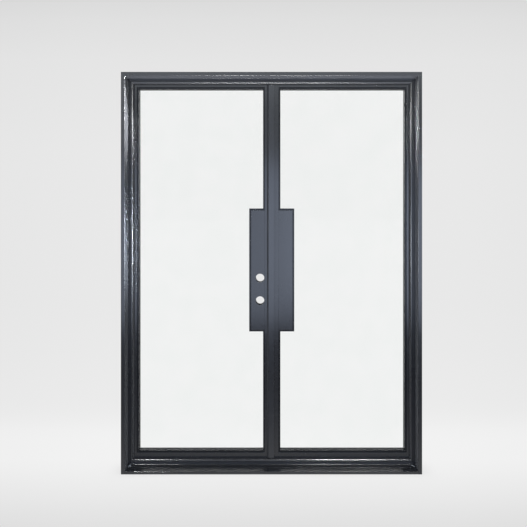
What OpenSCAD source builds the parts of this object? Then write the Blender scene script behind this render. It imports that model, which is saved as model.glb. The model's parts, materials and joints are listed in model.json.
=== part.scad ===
// A pair of glazed steel french doors in their own welded steel frame.
// X is to the right as seen from outside, Y runs into the building and Z is up.
// The origin is on the floor, under the middle of the frame's width and depth.

/* [Frame] */
// Overall width of the frame
unit_w = 1816.1; // [1400:0.1:2600]
// Overall height of the frame
unit_h = 2425.7; // [2000:0.1:3000]
// Depth of the frame, from the exterior face to the interior face
frame_depth = 133.35; // [120:0.05:200]
// Wall of the frame's folded steel sections
frame_wall = 2.5; // [1.5:0.1:3.5]
// Face width of the outer casing
casing_w = 24; // [18:0.5:28]
// Radius on the casing's front edges
casing_round = 2.5; // [0.5:0.5:5]
// Distance from the exterior face back to the inner step
reveal = 62; // [45:0.5:64]
// Distance from the frame's outer edge to the edge of the door stop
stop_edge = 54; // [50:0.5:60]
// Width of the round-edged nose of the door stop
nose_w = 14; // [11:0.5:16]
// How far the nose stands in front of the inner step
nose_proud = 2.5; // [1:0.5:4]
// Radius on the nose's front edges
nose_round = 5; // [2:0.5:5]
// Distance from the frame's outer edge to the rabbet that the leaves close into
rabbet = 30; // [28:0.5:34]

/* [Sill] */
// Height of the sill's front edge
sill_front_h = 16.5; // [10:0.5:22]
// Height of the sill's sloped top where it meets the inner step
sill_step_h = 29; // [23:0.5:32]
// Height of the sill's floor under the leaves
sill_floor_h = 28; // [22:0.5:34]
// Height of the sill's stop
sill_stop_h = 58.5; // [54:0.5:64]

/* [Seals] */
// Space between the stop and a closed leaf, filled by the seals
seal_space = 6; // [4:0.5:8]
// Width of a frame seal
seal_w = 14; // [10:0.5:16]
// How far the seals of the jambs and head show past the stop
seal_show = 5; // [0:0.5:7]
// Free gap between a seal and the face that closes on it
seal_clear = 0.3; // [0.2:0.1:0.5]

/* [Leaves] */
// Thickness of a leaf
leaf_t = 50.8; // [42:0.1:56]
// Face width of the stiles and top rail
stile_w = 40; // [36:0.5:60]
// Face height of the bottom rail
bottom_rail_h = 55.5; // [45:0.5:250]
// Wall of the leaves' tubes and lock boxes
leaf_wall = 2.5; // [1.5:0.1:3.5]
// Gap between the frame's rabbet and a leaf's hinge edge
hinge_gap = 3.2; // [2.5:0.1:5]
// Gap between the head's rabbet and the leaves
head_gap = 3.2; // [2.5:0.1:6]
// Gap between the two leaves
meeting_gap = 5; // [5:0.1:8]
// Gap between the sill's floor and the leaves
floor_gap = 7.5; // [5:0.1:12]
// Width of the sweep under a leaf
sweep_w = 12; // [8:0.5:20]
// Distance from each end of a leaf to the end of its sweep
sweep_inset = 5; // [3:0.5:8]

/* [Glazing] */
// Thickness of one pane
glass_t = 4; // [3:0.5:5]
// Air space between a leaf's two panes
air_gap = 8; // [6:0.5:10]
// Gap between the panes' edges and the tubes
edge_clear = 3; // [2:0.5:4]
// Face width of the exterior stops and interior beads
bead_w = 11; // [9:0.5:16]
// How far the stops and beads lie behind the leaf's faces
bead_setback = 6; // [3:0.5:8]
// Gap at the joints between the interior beads
bead_joint = 0.3; // [0.1:0.1:1]
// Thickness of the glazing gaskets
gasket_t = 1.2; // [0.8:0.1:2]
// Width of the spacer bar between the panes
spacer_w = 6.5; // [5:0.5:7]
// Length of a setting block under the panes
block_len = 100; // [50:5:150]

/* [Lock boxes] */
// Width of a lock box beyond the meeting stile
box_w = 86.2; // [84:0.1:110]
// Height of a lock box
box_h = 741; // [500:1:900]
// Height of a lock box's middle above the floor
box_z = 1220.5; // [1050:0.5:1250]
// Diameter of the two bores through the active leaf's lock box
lock_bore_d = 53.975; // [38:0.005:54]
// Distance from the meeting edge to the axis of those bores
backset = 69.85; // [69:0.05:76]
// Height of the lower bore above the floor
lower_bore_z = 1031; // [950:0.5:1060]
// Distance between the two bores
bore_pitch = 139.7; // [100:0.1:160]
// Diameter of the latch and bolt bores in the left leaf's meeting edge
edge_bore_d = 25.4; // [20:0.1:28]
// Diameter of the strike bores in the right leaf's meeting edge
strike_bore_d = 22.2; // [18:0.1:28]

/* [Astragal] */
// Width of the astragal bar over the meeting gap
astragal_w = 35; // [30:0.5:45]
// How far the astragal reaches past the middle, over the active leaf
astragal_lap = 20; // [16:0.5:24]
// Thickness of the astragal bar
astragal_t = 5; // [4:0.5:6]
// How far the astragal's front stands in front of the leaves
astragal_proud = 10; // [8:0.5:12]
// Distance from the middle to the astragal's welded foot
astragal_foot_x = 3.5; // [3:0.5:6]
// Gap between the astragal's ends and the head seal and sill stop
astragal_end_gap = 2.7; // [2:0.1:6]
// How far the astragal's seal shows past its edge
astragal_seal_show = 9; // [4:0.5:12]
// How far the astragal's seal reaches under the bar
astragal_seal_grip = 12; // [8:0.5:16]

/* [Hinges] */
// Number of hinges on each leaf
hinge_count = 3; // [2:1:4]
// Distance from a leaf's end to the middle of its nearest hinge
hinge_end = 215; // [150:5:350]
// Diameter of a hinge barrel
barrel_d = 20; // [16:0.5:24]
// Length of each half of a hinge
barrel_len = 60; // [40:1:90]
// Gap between a barrel and the face beside it
barrel_clear = 0.4; // [0.3:0.1:1]
// Diameter of a hinge pin
pin_d = 12; // [8:0.5:12]
// Running clearance of the pins and rods, on the radius
run_clear = 0.05; // [0.02:0.01:0.1]
// Thickness of the end wall that closes a barrel
barrel_cap = 4; // [3:0.5:8]
// Thickness of the bearing washer between the halves
washer_t = 2; // [1:0.5:4]
// Thickness of a hinge's weld-on wing
wing_t = 4; // [3:0.5:5]
// Reach of a hinge's wing from the pin axis
wing_w = 26; // [20:0.5:28]

/* [Flush bolts] */
// Diameter of a flush bolt's rod
rod_d = 12.7; // [10:0.1:14]
// Distance from the meeting edge to the rod's axis
rod_inset = 20; // [16:0.5:22]
// Travel of a flush bolt
bolt_travel = 19; // [14:0.5:20]
// Distance from a leaf's end to the thumb slide
bolt_reach = 350; // [200:5:500]
// Distance that a drawn-back rod lies inside the leaf's end
rod_recess = 1; // [0.5:0.5:3]
// Diameter of the thumb slide
thumb_d = 8; // [6:0.5:10]
// Width of a flush bolt's guide plate
guide_w = 19; // [16:0.5:26]
// Length of the guide plate beyond the thumb slide's travel, at each end
guide_margin = 40; // [30:1:60]
// Height of the guide lugs that carry the rod
lug_h = 12; // [8:1:20]
// Wall of the guide lugs round the rod
lug_wall = 3; // [2:0.5:3.5]
// Clearance round the rod in the frame's keeper holes, on the radius
keeper_clear = 1.65; // [1:0.05:3]
// Gap round the guide plate and the thumb slide
fit_gap = 0.3; // [0.1:0.1:0.5]

/* [Fixings] */
// Diameter of the anchor holes in the jambs' outer sides
anchor_d = 8.5; // [6:0.5:12]
// Height of the lowest anchor hole
anchor_z = 150; // [80:5:300]
// Distance between the holes of each pair
anchor_pitch = 700; // [400:10:800]
// Distance from the top of the frame to the highest anchor hole
anchor_top = 175; // [100:5:300]
// Diameter of a bead screw's shank
screw_d = 3.8; // [3:0.1:5]
// Diameter of a bead screw's head
screw_head_d = 7.4; // [6:0.1:9]
// Least metal of the bead on each side of a screw's head
screw_edge = 0.5; // [0.3:0.1:1]
// Height of a bead screw's sunk head
screw_head_h = 2.2; // [1.5:0.1:3]
// Length of a bead screw past the wall of the tube
screw_tip = 3; // [1:0.5:6]
// Clearance round a bead screw, on the radius
screw_clear = 0.1; // [0.05:0.05:0.3]
// Largest distance between bead screws
screw_pitch = 320; // [150:10:500]

/* [Hidden] */
$fn = 48;
steel = [0.19, 0.20, 0.22];
steel_bar = [0.24, 0.25, 0.28];
zinc = [0.62, 0.63, 0.64];
rubber = [0.05, 0.05, 0.055];
spacer_grey = [0.45, 0.46, 0.48];
pane = [0.80, 0.88, 0.88, 0.35];
eps = 0.5;

half_w = unit_w / 2;
leaf_v = frame_depth - leaf_t;
stop_back = leaf_v - seal_space;
nose_v = reveal - nose_proud;
nose_u = stop_edge - nose_w;
mitre_size = stop_edge + eps;

leaf_x0 = -half_w + rabbet + hinge_gap;
leaf_x1 = -meeting_gap / 2;
leaf_z0 = sill_floor_h + floor_gap;
leaf_z1 = unit_h - rabbet - head_gap;
leaf_y0 = leaf_v - frame_depth / 2;
leaf_y1 = frame_depth / 2;
leaf_mid_y = (leaf_y0 + leaf_y1) / 2;

glaze_x0 = leaf_x0 + stile_w;
glaze_x1 = leaf_x1 - stile_w;
glaze_z0 = leaf_z0 + bottom_rail_h;
glaze_z1 = leaf_z1 - stile_w;
box_x0 = glaze_x1 - box_w;
box_z0 = box_z - box_h / 2;
box_z1 = box_z + box_h / 2;

unit_t = 2 * glass_t + air_gap;
bead_d = (leaf_t - unit_t) / 2 - bead_setback - gasket_t;
stop_v = leaf_v + bead_setback;
glass_v = stop_v + bead_d + gasket_t;
bead_v = glass_v + unit_t + gasket_t;
bead_y = bead_v + bead_d / 2 - frame_depth / 2;
sunk_d = min(screw_head_d, bead_d - 2 * screw_edge);

bore_x = leaf_x1 - backset;
bore_heights = [lower_bore_z, lower_bore_z + bore_pitch];

hinge_x = -half_w + rabbet + hinge_gap / 2;
hinge_y = leaf_y1 + barrel_clear + barrel_d / 2;
hinge_low = leaf_z0 + hinge_end;
hinge_step = (leaf_z1 - leaf_z0 - 2 * hinge_end) / (hinge_count - 1);
pin_half = barrel_len + washer_t / 2 - barrel_cap;

astragal_z0 = sill_stop_h + astragal_end_gap;
astragal_z1 = unit_h - stop_edge - seal_show - astragal_end_gap;
astragal_v = leaf_v - astragal_proud;

rod_x = leaf_x1 - rod_inset;
rod_hole_d = rod_d + 2 * run_clear;
keeper_d = rod_d + 2 * keeper_clear;

anchor_heights = [anchor_z, anchor_z + anchor_pitch,
                  unit_h - anchor_top - anchor_pitch, unit_h - anchor_top];

// Depth v behind the exterior face, as a Y coordinate
function y_at(v) = v - frame_depth / 2;

// Evenly spaced places between a and b, no further apart than pitch
function spaced(a, b, pitch) =
    let (count = ceil((b - a) / pitch), step = (b - a) / count)
    [for (i = [0 : count - 1]) a + step * (i + 0.5)];

// A block between two opposite corners
module block(low, high) {
    translate(low) cube(high - low);
}

// Children drawn in the X-Z plane and given the depth from v0 to v1
module upright(v0, v1) {
    translate([0, y_at(v1), 0]) rotate([90, 0, 0]) linear_extrude(v1 - v0) children();
}

// Children drawn in the Y-Z plane and run along X from x0 to x1
module along_x(x0, x1) {
    translate([x0, 0, 0]) rotate([90, 0, 90]) linear_extrude(x1 - x0) children();
}

// A square with its two low-y corners rounded
module front_rounded(x0, x1, y0, y1, r) {
    translate([x0 + r, y0]) square([x1 - x0 - 2 * r, y1 - y0]);
    translate([x0, y0 + r]) square([x1 - x0, y1 - y0 - r]);
    for (x = [x0 + r, x1 - r]) translate([x, y0 + r]) circle(r);
}

// A wedge that cuts a 45 degree mitre at the corner (x, z); side 0 falls to the right, 1 to the left
module mitre(x, z, side, size, above) {
    tip = [-eps, eps];
    heel = [size, -size];
    third = above ? [size, eps] : [-eps, -size];
    translate([x, frame_depth, z]) rotate([90, 0, 0]) linear_extrude(2 * frame_depth)
        mirror([side, 0]) polygon([tip, heel, third]);
}

// ---- Frame ----

// Outline of the jamb and head section: x in from the outer edge, y back from the exterior face
module frame_outline() {
    front_rounded(0, casing_w, 0, frame_depth, casing_round);
    translate([0, reveal]) square([nose_u + nose_round, stop_back - reveal]);
    front_rounded(nose_u, stop_edge, nose_v, stop_back, nose_round);
    translate([0, reveal]) square([rabbet, frame_depth - reveal]);
}

// Hollow inside of the same section
module frame_hollow() {
    w = frame_wall;
    translate([w, w]) square([casing_w - 2 * w, frame_depth - 2 * w]);
    translate([w, reveal + w]) square([stop_edge - 2 * w, stop_back - reveal - 2 * w]);
    translate([w, reveal + w]) square([rabbet - 2 * w, frame_depth - reveal - 2 * w]);
}

// Outline of the sill below its nose: x back from the exterior face, y up from the floor
module sill_outline() {
    polygon([[0, 0], [frame_depth, 0], [frame_depth, sill_floor_h], [stop_back, sill_floor_h],
             [stop_back, sill_stop_h - nose_round], [reveal, sill_stop_h - nose_round],
             [reveal, sill_step_h], [0, sill_front_h]]);
}

module sill_nose() {
    mirror([1, 0]) rotate(90) front_rounded(sill_stop_h - nose_w, sill_stop_h, nose_v, stop_back, nose_round);
}

module sill_hollow() {
    w = frame_wall;
    polygon([[w, w], [frame_depth - w, w], [frame_depth - w, sill_floor_h - w],
             [stop_back - w, sill_floor_h - w], [stop_back - w, sill_stop_h - w],
             [reveal + w, sill_stop_h - w], [reveal + w, sill_step_h - w],
             [w, sill_front_h - w]]);
}

module jamb_prism() {
    translate([-half_w, -frame_depth / 2, 0]) linear_extrude(unit_h) frame_outline();
}

module jamb() {
    difference() {
        jamb_prism();
        translate([-half_w, -frame_depth / 2, frame_wall]) linear_extrude(unit_h) frame_hollow();
        mitre(-half_w, unit_h, 0, mitre_size, true);
        for (z = anchor_heights)
            translate([-half_w - eps, leaf_mid_y, z]) rotate([0, 90, 0])
                cylinder(h = frame_wall + 2 * eps, d = anchor_d);
    }
}

module left_jamb() color(steel) jamb();
module right_jamb() color(steel) mirror([1, 0, 0]) jamb();

module head() {
    color(steel) difference() {
        along_x(-half_w, half_w) translate([-frame_depth / 2, unit_h]) rotate(-90) frame_outline();
        along_x(-half_w - eps, half_w + eps)
            translate([-frame_depth / 2, unit_h]) rotate(-90) frame_hollow();
        mitre(-half_w, unit_h, 0, mitre_size, false);
        mitre(half_w, unit_h, 1, mitre_size, false);
        translate([-rod_x, leaf_mid_y, unit_h - rabbet - eps])
            cylinder(h = frame_wall + 2 * eps, d = keeper_d);
    }
}

module sill() {
    clear_w = half_w - stop_edge;
    color(steel) difference() {
        union() {
            along_x(casing_w - half_w, half_w - casing_w)
                translate([-frame_depth / 2, 0]) sill_outline();
            along_x(-clear_w, clear_w) translate([-frame_depth / 2, 0]) sill_nose();
        }
        along_x(frame_wall - clear_w, clear_w - frame_wall)
            translate([-frame_depth / 2, 0]) sill_hollow();
        jamb_prism();
        mirror([1, 0, 0]) jamb_prism();
        translate([-rod_x, leaf_mid_y, sill_floor_h - frame_wall - eps])
            cylinder(h = frame_wall + 2 * eps, d = keeper_d);
    }
}

// ---- Frame seals, on the back of the stops ----

seal_u0 = stop_edge + seal_show - seal_w;
seal_u1 = stop_edge + seal_show;
seal_v1 = leaf_v - seal_clear;
sill_seal_top = sill_stop_h - seal_clear;

module jamb_seal() {
    block([-half_w + seal_u0, y_at(stop_back), sill_seal_top],
          [-half_w + seal_u1, y_at(seal_v1), unit_h - seal_u1]);
}

module left_jamb_seal() color(rubber) jamb_seal();
module right_jamb_seal() color(rubber) mirror([1, 0, 0]) jamb_seal();

module head_seal() {
    color(rubber) block([-half_w + seal_u0, y_at(stop_back), unit_h - seal_u1],
                        [half_w - seal_u0, y_at(seal_v1), unit_h - seal_u0]);
}

module sill_seal() {
    color(rubber) block([-half_w + seal_u0, y_at(stop_back), sill_seal_top - seal_w],
                        [half_w - seal_u0, y_at(seal_v1), sill_seal_top]);
}

// ---- Hinges, welded on the interior faces ----

module at_hinges() {
    for (i = [0 : hinge_count - 1])
        translate([hinge_x, hinge_y, hinge_low + i * hinge_step]) children();
}

// One half of a hinge, standing up from the washer; side is 1 with its wing to the right, -1 to the left
module hinge_half(side) {
    wing_y = -barrel_d / 2 - barrel_clear;
    difference() {
        union() {
            translate([0, 0, washer_t / 2]) cylinder(h = barrel_len, d = barrel_d);
            block([min(0, side * wing_w), wing_y, washer_t / 2],
                  [max(0, side * wing_w), wing_y + wing_t, washer_t / 2 + barrel_len]);
        }
        cylinder(h = pin_half + run_clear, d = pin_d + 2 * run_clear);
    }
}

module leaf_barrels() at_hinges() hinge_half(1);
module frame_barrels() at_hinges() mirror([0, 0, 1]) hinge_half(-1);
module hinge_pins() at_hinges() translate([0, 0, -pin_half]) cylinder(h = 2 * pin_half, d = pin_d);

module hinge_washers() {
    at_hinges() translate([0, 0, -washer_t / 2]) difference() {
        cylinder(h = washer_t, d = barrel_d);
        translate([0, 0, -eps]) cylinder(h = washer_t + 2 * eps, d = pin_d + 2 * run_clear);
    }
}

module left_frame_barrels() color(steel) frame_barrels();
module right_frame_barrels() color(steel) mirror([1, 0, 0]) frame_barrels();
module left_leaf_barrels() color(steel) leaf_barrels();
module right_leaf_barrels() color(steel) mirror([1, 0, 0]) leaf_barrels();
module left_hinge_pins() color(zinc) hinge_pins();
module right_hinge_pins() color(zinc) mirror([1, 0, 0]) hinge_pins();
module left_hinge_washers() color(zinc) hinge_washers();
module right_hinge_washers() color(zinc) mirror([1, 0, 0]) hinge_washers();

// ---- Leaf tubes, drawn for the left leaf and mirrored for the right ----

// Bead screws of each run: x, z and the angle that turns up to the way the screw points
hinge_screws = [for (z = spaced(glaze_z0 + bead_w, glaze_z1 - bead_w, screw_pitch))
                [glaze_x0, z, -90]];
meeting_screws = [for (z = concat(spaced(glaze_z0 + bead_w, box_z0 - bead_w, screw_pitch),
                                  spaced(box_z1 + bead_w, glaze_z1 - bead_w, screw_pitch)))
                  [glaze_x1, z, 90]];
top_screws = [for (x = spaced(glaze_x0, glaze_x1, screw_pitch)) [x, glaze_z1, 0]];
bottom_screws = [for (x = spaced(glaze_x0, glaze_x1, screw_pitch)) [x, glaze_z0, 180]];
box_screws = concat([for (z = spaced(box_z0, box_z1, screw_pitch)) [box_x0, z, 90]],
                    [for (x = spaced(box_x0, glaze_x1, box_w / 2)) [x, box_z0, 0]],
                    [for (x = spaced(box_x0, glaze_x1, box_w / 2)) [x, box_z1, 180]]);

// A sunk-head screw through a bead into the tube face at z = 0; clear above 0 makes its hole
module bead_screw(clear) {
    translate([0, 0, -bead_w]) {
        cylinder(h = screw_head_h, d1 = sunk_d + 2 * clear, d2 = screw_d + 2 * clear);
        cylinder(h = bead_w + leaf_wall + screw_tip + clear, d = screw_d + 2 * clear);
        if (clear > 0)
            translate([0, 0, -eps]) cylinder(h = eps + clear, d = sunk_d + 2 * clear);
    }
}

module screws(places, clear) {
    for (p = places) translate([p[0], bead_y, p[1]]) rotate([0, p[2], 0]) bead_screw(clear);
}

// Latch and bolt bores along X at both lock heights, from the meeting edge inwards
module edge_bores(depth, d) {
    for (z = bore_heights)
        translate([leaf_x1 + eps - depth, leaf_mid_y, z]) rotate([0, 90, 0])
            cylinder(h = depth, d = d);
}

module hinge_stile() {
    w = leaf_wall;
    difference() {
        block([leaf_x0, leaf_y0, leaf_z0], [glaze_x0, leaf_y1, leaf_z1]);
        block([leaf_x0 + w, leaf_y0 + w, leaf_z0 + w], [glaze_x0 - w, leaf_y1 - w, leaf_z1]);
        mitre(leaf_x0, leaf_z1, 0, stile_w + eps, true);
        screws(hinge_screws, screw_clear);
    }
}

module meeting_stile() {
    w = leaf_wall;
    difference() {
        block([glaze_x1, leaf_y0, leaf_z0], [leaf_x1, leaf_y1, leaf_z1]);
        block([glaze_x1 + w, leaf_y0 + w, leaf_z0 + w], [leaf_x1 - w, leaf_y1 - w, leaf_z1]);
        mitre(leaf_x1, leaf_z1, 1, stile_w + eps, true);
        screws(meeting_screws, screw_clear);
    }
}

module top_rail() {
    w = leaf_wall;
    difference() {
        block([leaf_x0, leaf_y0, glaze_z1], [leaf_x1, leaf_y1, leaf_z1]);
        block([leaf_x0 - eps, leaf_y0 + w, glaze_z1 + w], [leaf_x1 + eps, leaf_y1 - w, leaf_z1 - w]);
        mitre(leaf_x0, leaf_z1, 0, stile_w + eps, false);
        mitre(leaf_x1, leaf_z1, 1, stile_w + eps, false);
        screws(top_screws, screw_clear);
    }
}

module bottom_rail() {
    w = leaf_wall;
    difference() {
        block([glaze_x0, leaf_y0, leaf_z0], [glaze_x1, leaf_y1, glaze_z0]);
        block([glaze_x0 - eps, leaf_y0 + w, leaf_z0 + w], [glaze_x1 + eps, leaf_y1 - w, glaze_z0 - w]);
        screws(bottom_screws, screw_clear);
    }
}

module lock_box() {
    w = leaf_wall;
    difference() {
        block([box_x0, leaf_y0, box_z0], [glaze_x1, leaf_y1, box_z1]);
        block([box_x0 + w, leaf_y0 + w, box_z0 + w], [glaze_x1 - w, leaf_y1 - w, box_z1 - w]);
        screws(box_screws, screw_clear);
    }
}

module left_hinge_stile() color(steel) hinge_stile();
module right_hinge_stile() color(steel) mirror([1, 0, 0]) hinge_stile();
module left_top_rail() color(steel) top_rail();
module left_bottom_rail() color(steel) bottom_rail();
module right_bottom_rail() color(steel) mirror([1, 0, 0]) bottom_rail();
module right_lock_box() color(steel) mirror([1, 0, 0]) lock_box();

module right_top_rail() {
    color(steel) mirror([1, 0, 0]) difference() {
        top_rail();
        translate([rod_x, leaf_mid_y, leaf_z1 - leaf_wall - eps])
            cylinder(h = leaf_wall + 2 * eps, d = rod_hole_d);
    }
}

module left_meeting_stile() {
    color(steel) difference() {
        meeting_stile();
        edge_bores(stile_w + 2 * eps, edge_bore_d);
    }
}

module left_lock_box() {
    color(steel) difference() {
        lock_box();
        edge_bores(stile_w + leaf_wall + 2 * eps, edge_bore_d);
        for (z = bore_heights)
            translate([bore_x, leaf_y1 + eps, z]) rotate([90, 0, 0])
                cylinder(h = leaf_t + 2 * eps, d = lock_bore_d);
    }
}

module right_meeting_stile() {
    color(steel) mirror([1, 0, 0]) difference() {
        meeting_stile();
        edge_bores(leaf_wall + 2 * eps, strike_bore_d);
        at_bolt(1) guide_opening();
        at_bolt(-1) guide_opening();
        translate([rod_x, leaf_mid_y, leaf_z0 - eps])
            cylinder(h = leaf_wall + 2 * eps, d = rod_hole_d);
    }
}

// ---- Glazing ----

// Outline of the glazed opening, notched round the lock box and drawn in by inset
module glazed_outline(inset) {
    polygon([[glaze_x0 + inset, glaze_z0 + inset], [glaze_x1 - inset, glaze_z0 + inset],
             [glaze_x1 - inset, box_z0 - inset], [box_x0 - inset, box_z0 - inset],
             [box_x0 - inset, box_z1 + inset], [glaze_x1 - inset, box_z1 + inset],
             [glaze_x1 - inset, glaze_z1 - inset], [glaze_x0 + inset, glaze_z1 - inset]]);
}

module glazed_ring(v0, v1, outer, inner) {
    upright(v0, v1) difference() {
        glazed_outline(outer);
        glazed_outline(inner);
    }
}

// A straight bead bar; v is its front
module bar(x0, x1, z0, z1, v) {
    block([x0, y_at(v), z0], [x1, y_at(v + bead_d), z1]);
}

module top_bar(v) bar(glaze_x0, glaze_x1, glaze_z1 - bead_w, glaze_z1, v);
module bottom_bar(v) bar(glaze_x0, glaze_x1, glaze_z0, glaze_z0 + bead_w, v);

module hinge_bar(v, joint) {
    bar(glaze_x0, glaze_x0 + bead_w, glaze_z0 + bead_w + joint, glaze_z1 - bead_w - joint, v);
}

module meeting_bars(v, joint) {
    x0 = glaze_x1 - bead_w;
    bar(x0, glaze_x1, glaze_z0 + bead_w + joint, box_z0 - bead_w - joint, v);
    bar(x0, glaze_x1, box_z1 + bead_w + joint, glaze_z1 - bead_w - joint, v);
}

module box_bars(v, joint) {
    x0 = box_x0 - bead_w;
    bar(x0, glaze_x1, box_z0 - bead_w, box_z0, v);
    bar(x0, glaze_x1, box_z1, box_z1 + bead_w, v);
    bar(x0, box_x0, box_z0 + joint, box_z1 - joint, v);
}

// Exterior stops, welded into one ring
module exterior_stops() {
    top_bar(stop_v);
    bottom_bar(stop_v);
    hinge_bar(stop_v, 0);
    meeting_bars(stop_v, 0);
    box_bars(stop_v, 0);
}

// Interior beads: the bars above with their screw holes
module top_bead() difference() { top_bar(bead_v); screws(top_screws, screw_clear); }
module bottom_bead() difference() { bottom_bar(bead_v); screws(bottom_screws, screw_clear); }
module hinge_bead() difference() { hinge_bar(bead_v, bead_joint); screws(hinge_screws, screw_clear); }
module box_beads() difference() { box_bars(bead_v, bead_joint); screws(box_screws, screw_clear); }

module meeting_beads() {
    difference() {
        meeting_bars(bead_v, bead_joint);
        screws(meeting_screws, screw_clear);
    }
}

module bead_screws() {
    screws(concat(top_screws, bottom_screws, hinge_screws, meeting_screws, box_screws), 0);
}

module outer_pane() upright(glass_v, glass_v + glass_t) glazed_outline(edge_clear);
module inner_pane() upright(glass_v + glass_t + air_gap, glass_v + unit_t) glazed_outline(edge_clear);

module spacer_bar() {
    glazed_ring(glass_v + glass_t, glass_v + glass_t + air_gap, edge_clear, edge_clear + spacer_w);
}

module glazing_gaskets() {
    glazed_ring(glass_v - gasket_t, glass_v, edge_clear, bead_w);
    glazed_ring(glass_v + unit_t, glass_v + unit_t + gasket_t, edge_clear, bead_w);
}

module setting_blocks() {
    for (share = [1 / 4, 3 / 4]) {
        x = glaze_x0 + share * (glaze_x1 - glaze_x0);
        block([x - block_len / 2, y_at(glass_v), glaze_z0],
              [x + block_len / 2, y_at(glass_v + unit_t), glaze_z0 + edge_clear]);
    }
}

module left_exterior_stops() color(steel) exterior_stops();
module right_exterior_stops() color(steel) mirror([1, 0, 0]) exterior_stops();
module left_top_bead() color(steel) top_bead();
module right_top_bead() color(steel) mirror([1, 0, 0]) top_bead();
module left_bottom_bead() color(steel) bottom_bead();
module right_bottom_bead() color(steel) mirror([1, 0, 0]) bottom_bead();
module left_hinge_side_bead() color(steel) hinge_bead();
module right_hinge_side_bead() color(steel) mirror([1, 0, 0]) hinge_bead();
module left_meeting_beads() color(steel) meeting_beads();
module right_meeting_beads() color(steel) mirror([1, 0, 0]) meeting_beads();
module left_box_beads() color(steel) box_beads();
module right_box_beads() color(steel) mirror([1, 0, 0]) box_beads();
module left_outer_pane() color(pane) outer_pane();
module right_outer_pane() color(pane) mirror([1, 0, 0]) outer_pane();
module left_inner_pane() color(pane) inner_pane();
module right_inner_pane() color(pane) mirror([1, 0, 0]) inner_pane();
module left_spacer_bar() color(spacer_grey) spacer_bar();
module right_spacer_bar() color(spacer_grey) mirror([1, 0, 0]) spacer_bar();
module left_glazing_gaskets() color(rubber) glazing_gaskets();
module right_glazing_gaskets() color(rubber) mirror([1, 0, 0]) glazing_gaskets();
module left_setting_blocks() color(rubber) setting_blocks();
module right_setting_blocks() color(rubber) mirror([1, 0, 0]) setting_blocks();
module left_bead_screws() color(zinc) bead_screws();
module right_bead_screws() color(zinc) mirror([1, 0, 0]) bead_screws();

// ---- Sweeps, under the leaves ----

module sweep() {
    block([leaf_x0 + sweep_inset, leaf_mid_y - sweep_w / 2, sill_floor_h + seal_clear],
          [leaf_x1 - sweep_inset, leaf_mid_y + sweep_w / 2, leaf_z0]);
}

module left_sweep() color(rubber) sweep();

module right_sweep() {
    color(rubber) mirror([1, 0, 0]) difference() {
        sweep();
        block([rod_x - keeper_d / 2, leaf_mid_y - sweep_w, sill_floor_h],
              [leaf_x1, leaf_mid_y + sweep_w, leaf_z0 + eps]);
    }
}

// ---- Astragal, on the face of the right leaf ----

module astragal() {
    color(steel_bar) {
        right = astragal_w - astragal_lap;
        block([-astragal_lap, y_at(astragal_v), astragal_z0],
              [right, y_at(astragal_v + astragal_t), astragal_z1]);
        block([astragal_foot_x, y_at(astragal_v + astragal_t) - eps, astragal_z0],
              [right, leaf_y0, astragal_z1]);
    }
}

module astragal_seal() {
    color(rubber) block([-astragal_lap - astragal_seal_show, y_at(astragal_v + astragal_t), astragal_z0],
                        [-astragal_lap + astragal_seal_grip, y_at(seal_v1), astragal_z1]);
}

// ---- Flush bolts, in the right leaf's meeting stile ----

// Places children at the upper (end 1) or lower (end -1) thumb slide, with +Z towards the leaf's end
module at_bolt(end) {
    z = end > 0 ? leaf_z1 - bolt_reach : leaf_z0 + bolt_reach;
    translate([rod_x, leaf_mid_y, z]) mirror([0, 0, end > 0 ? 0 : 1]) children();
}

module guide_opening() {
    block([rod_inset - leaf_wall - eps, -guide_w / 2, -guide_margin],
          [rod_inset + eps, guide_w / 2, bolt_travel + guide_margin]);
}

// Face plate with the thumb slide's slot, and two lugs behind it that carry the rod
module bolt_guide() {
    slot_w = thumb_d + 2 * fit_gap;
    lug_x = -rod_d / 2 - lug_wall;
    difference() {
        union() {
            block([rod_inset - leaf_wall, -guide_w / 2 + fit_gap, -guide_margin + fit_gap],
                  [rod_inset, guide_w / 2 - fit_gap, bolt_travel + guide_margin - fit_gap]);
            for (z = [-guide_margin + fit_gap, bolt_travel + guide_margin - fit_gap - lug_h])
                block([lug_x, -rod_d / 2 - lug_wall + fit_gap, z],
                      [rod_inset - leaf_wall / 2, rod_d / 2 + lug_wall - fit_gap, z + lug_h]);
        }
        translate([0, 0, -2 * guide_margin])
            cylinder(h = bolt_travel + 4 * guide_margin, d = rod_hole_d);
        block([0, -slot_w / 2, 0], [rod_inset + eps, slot_w / 2, bolt_travel]);
        for (z = [0, bolt_travel])
            translate([0, 0, z]) rotate([0, 90, 0]) cylinder(h = rod_inset + eps, d = slot_w);
    }
}

// Rod with its thumb slide, drawn back
module bolt_rod() {
    translate([0, 0, -guide_margin]) cylinder(h = guide_margin + bolt_reach - rod_recess, d = rod_d);
    rotate([0, 90, 0]) cylinder(h = rod_inset - fit_gap, d = thumb_d);
}

module top_bolt_guide() color(zinc) mirror([1, 0, 0]) at_bolt(1) bolt_guide();
module bottom_bolt_guide() color(zinc) mirror([1, 0, 0]) at_bolt(-1) bolt_guide();
module top_flush_bolt() color(zinc) mirror([1, 0, 0]) at_bolt(1) bolt_rod();
module bottom_flush_bolt() color(zinc) mirror([1, 0, 0]) at_bolt(-1) bolt_rod();

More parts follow.
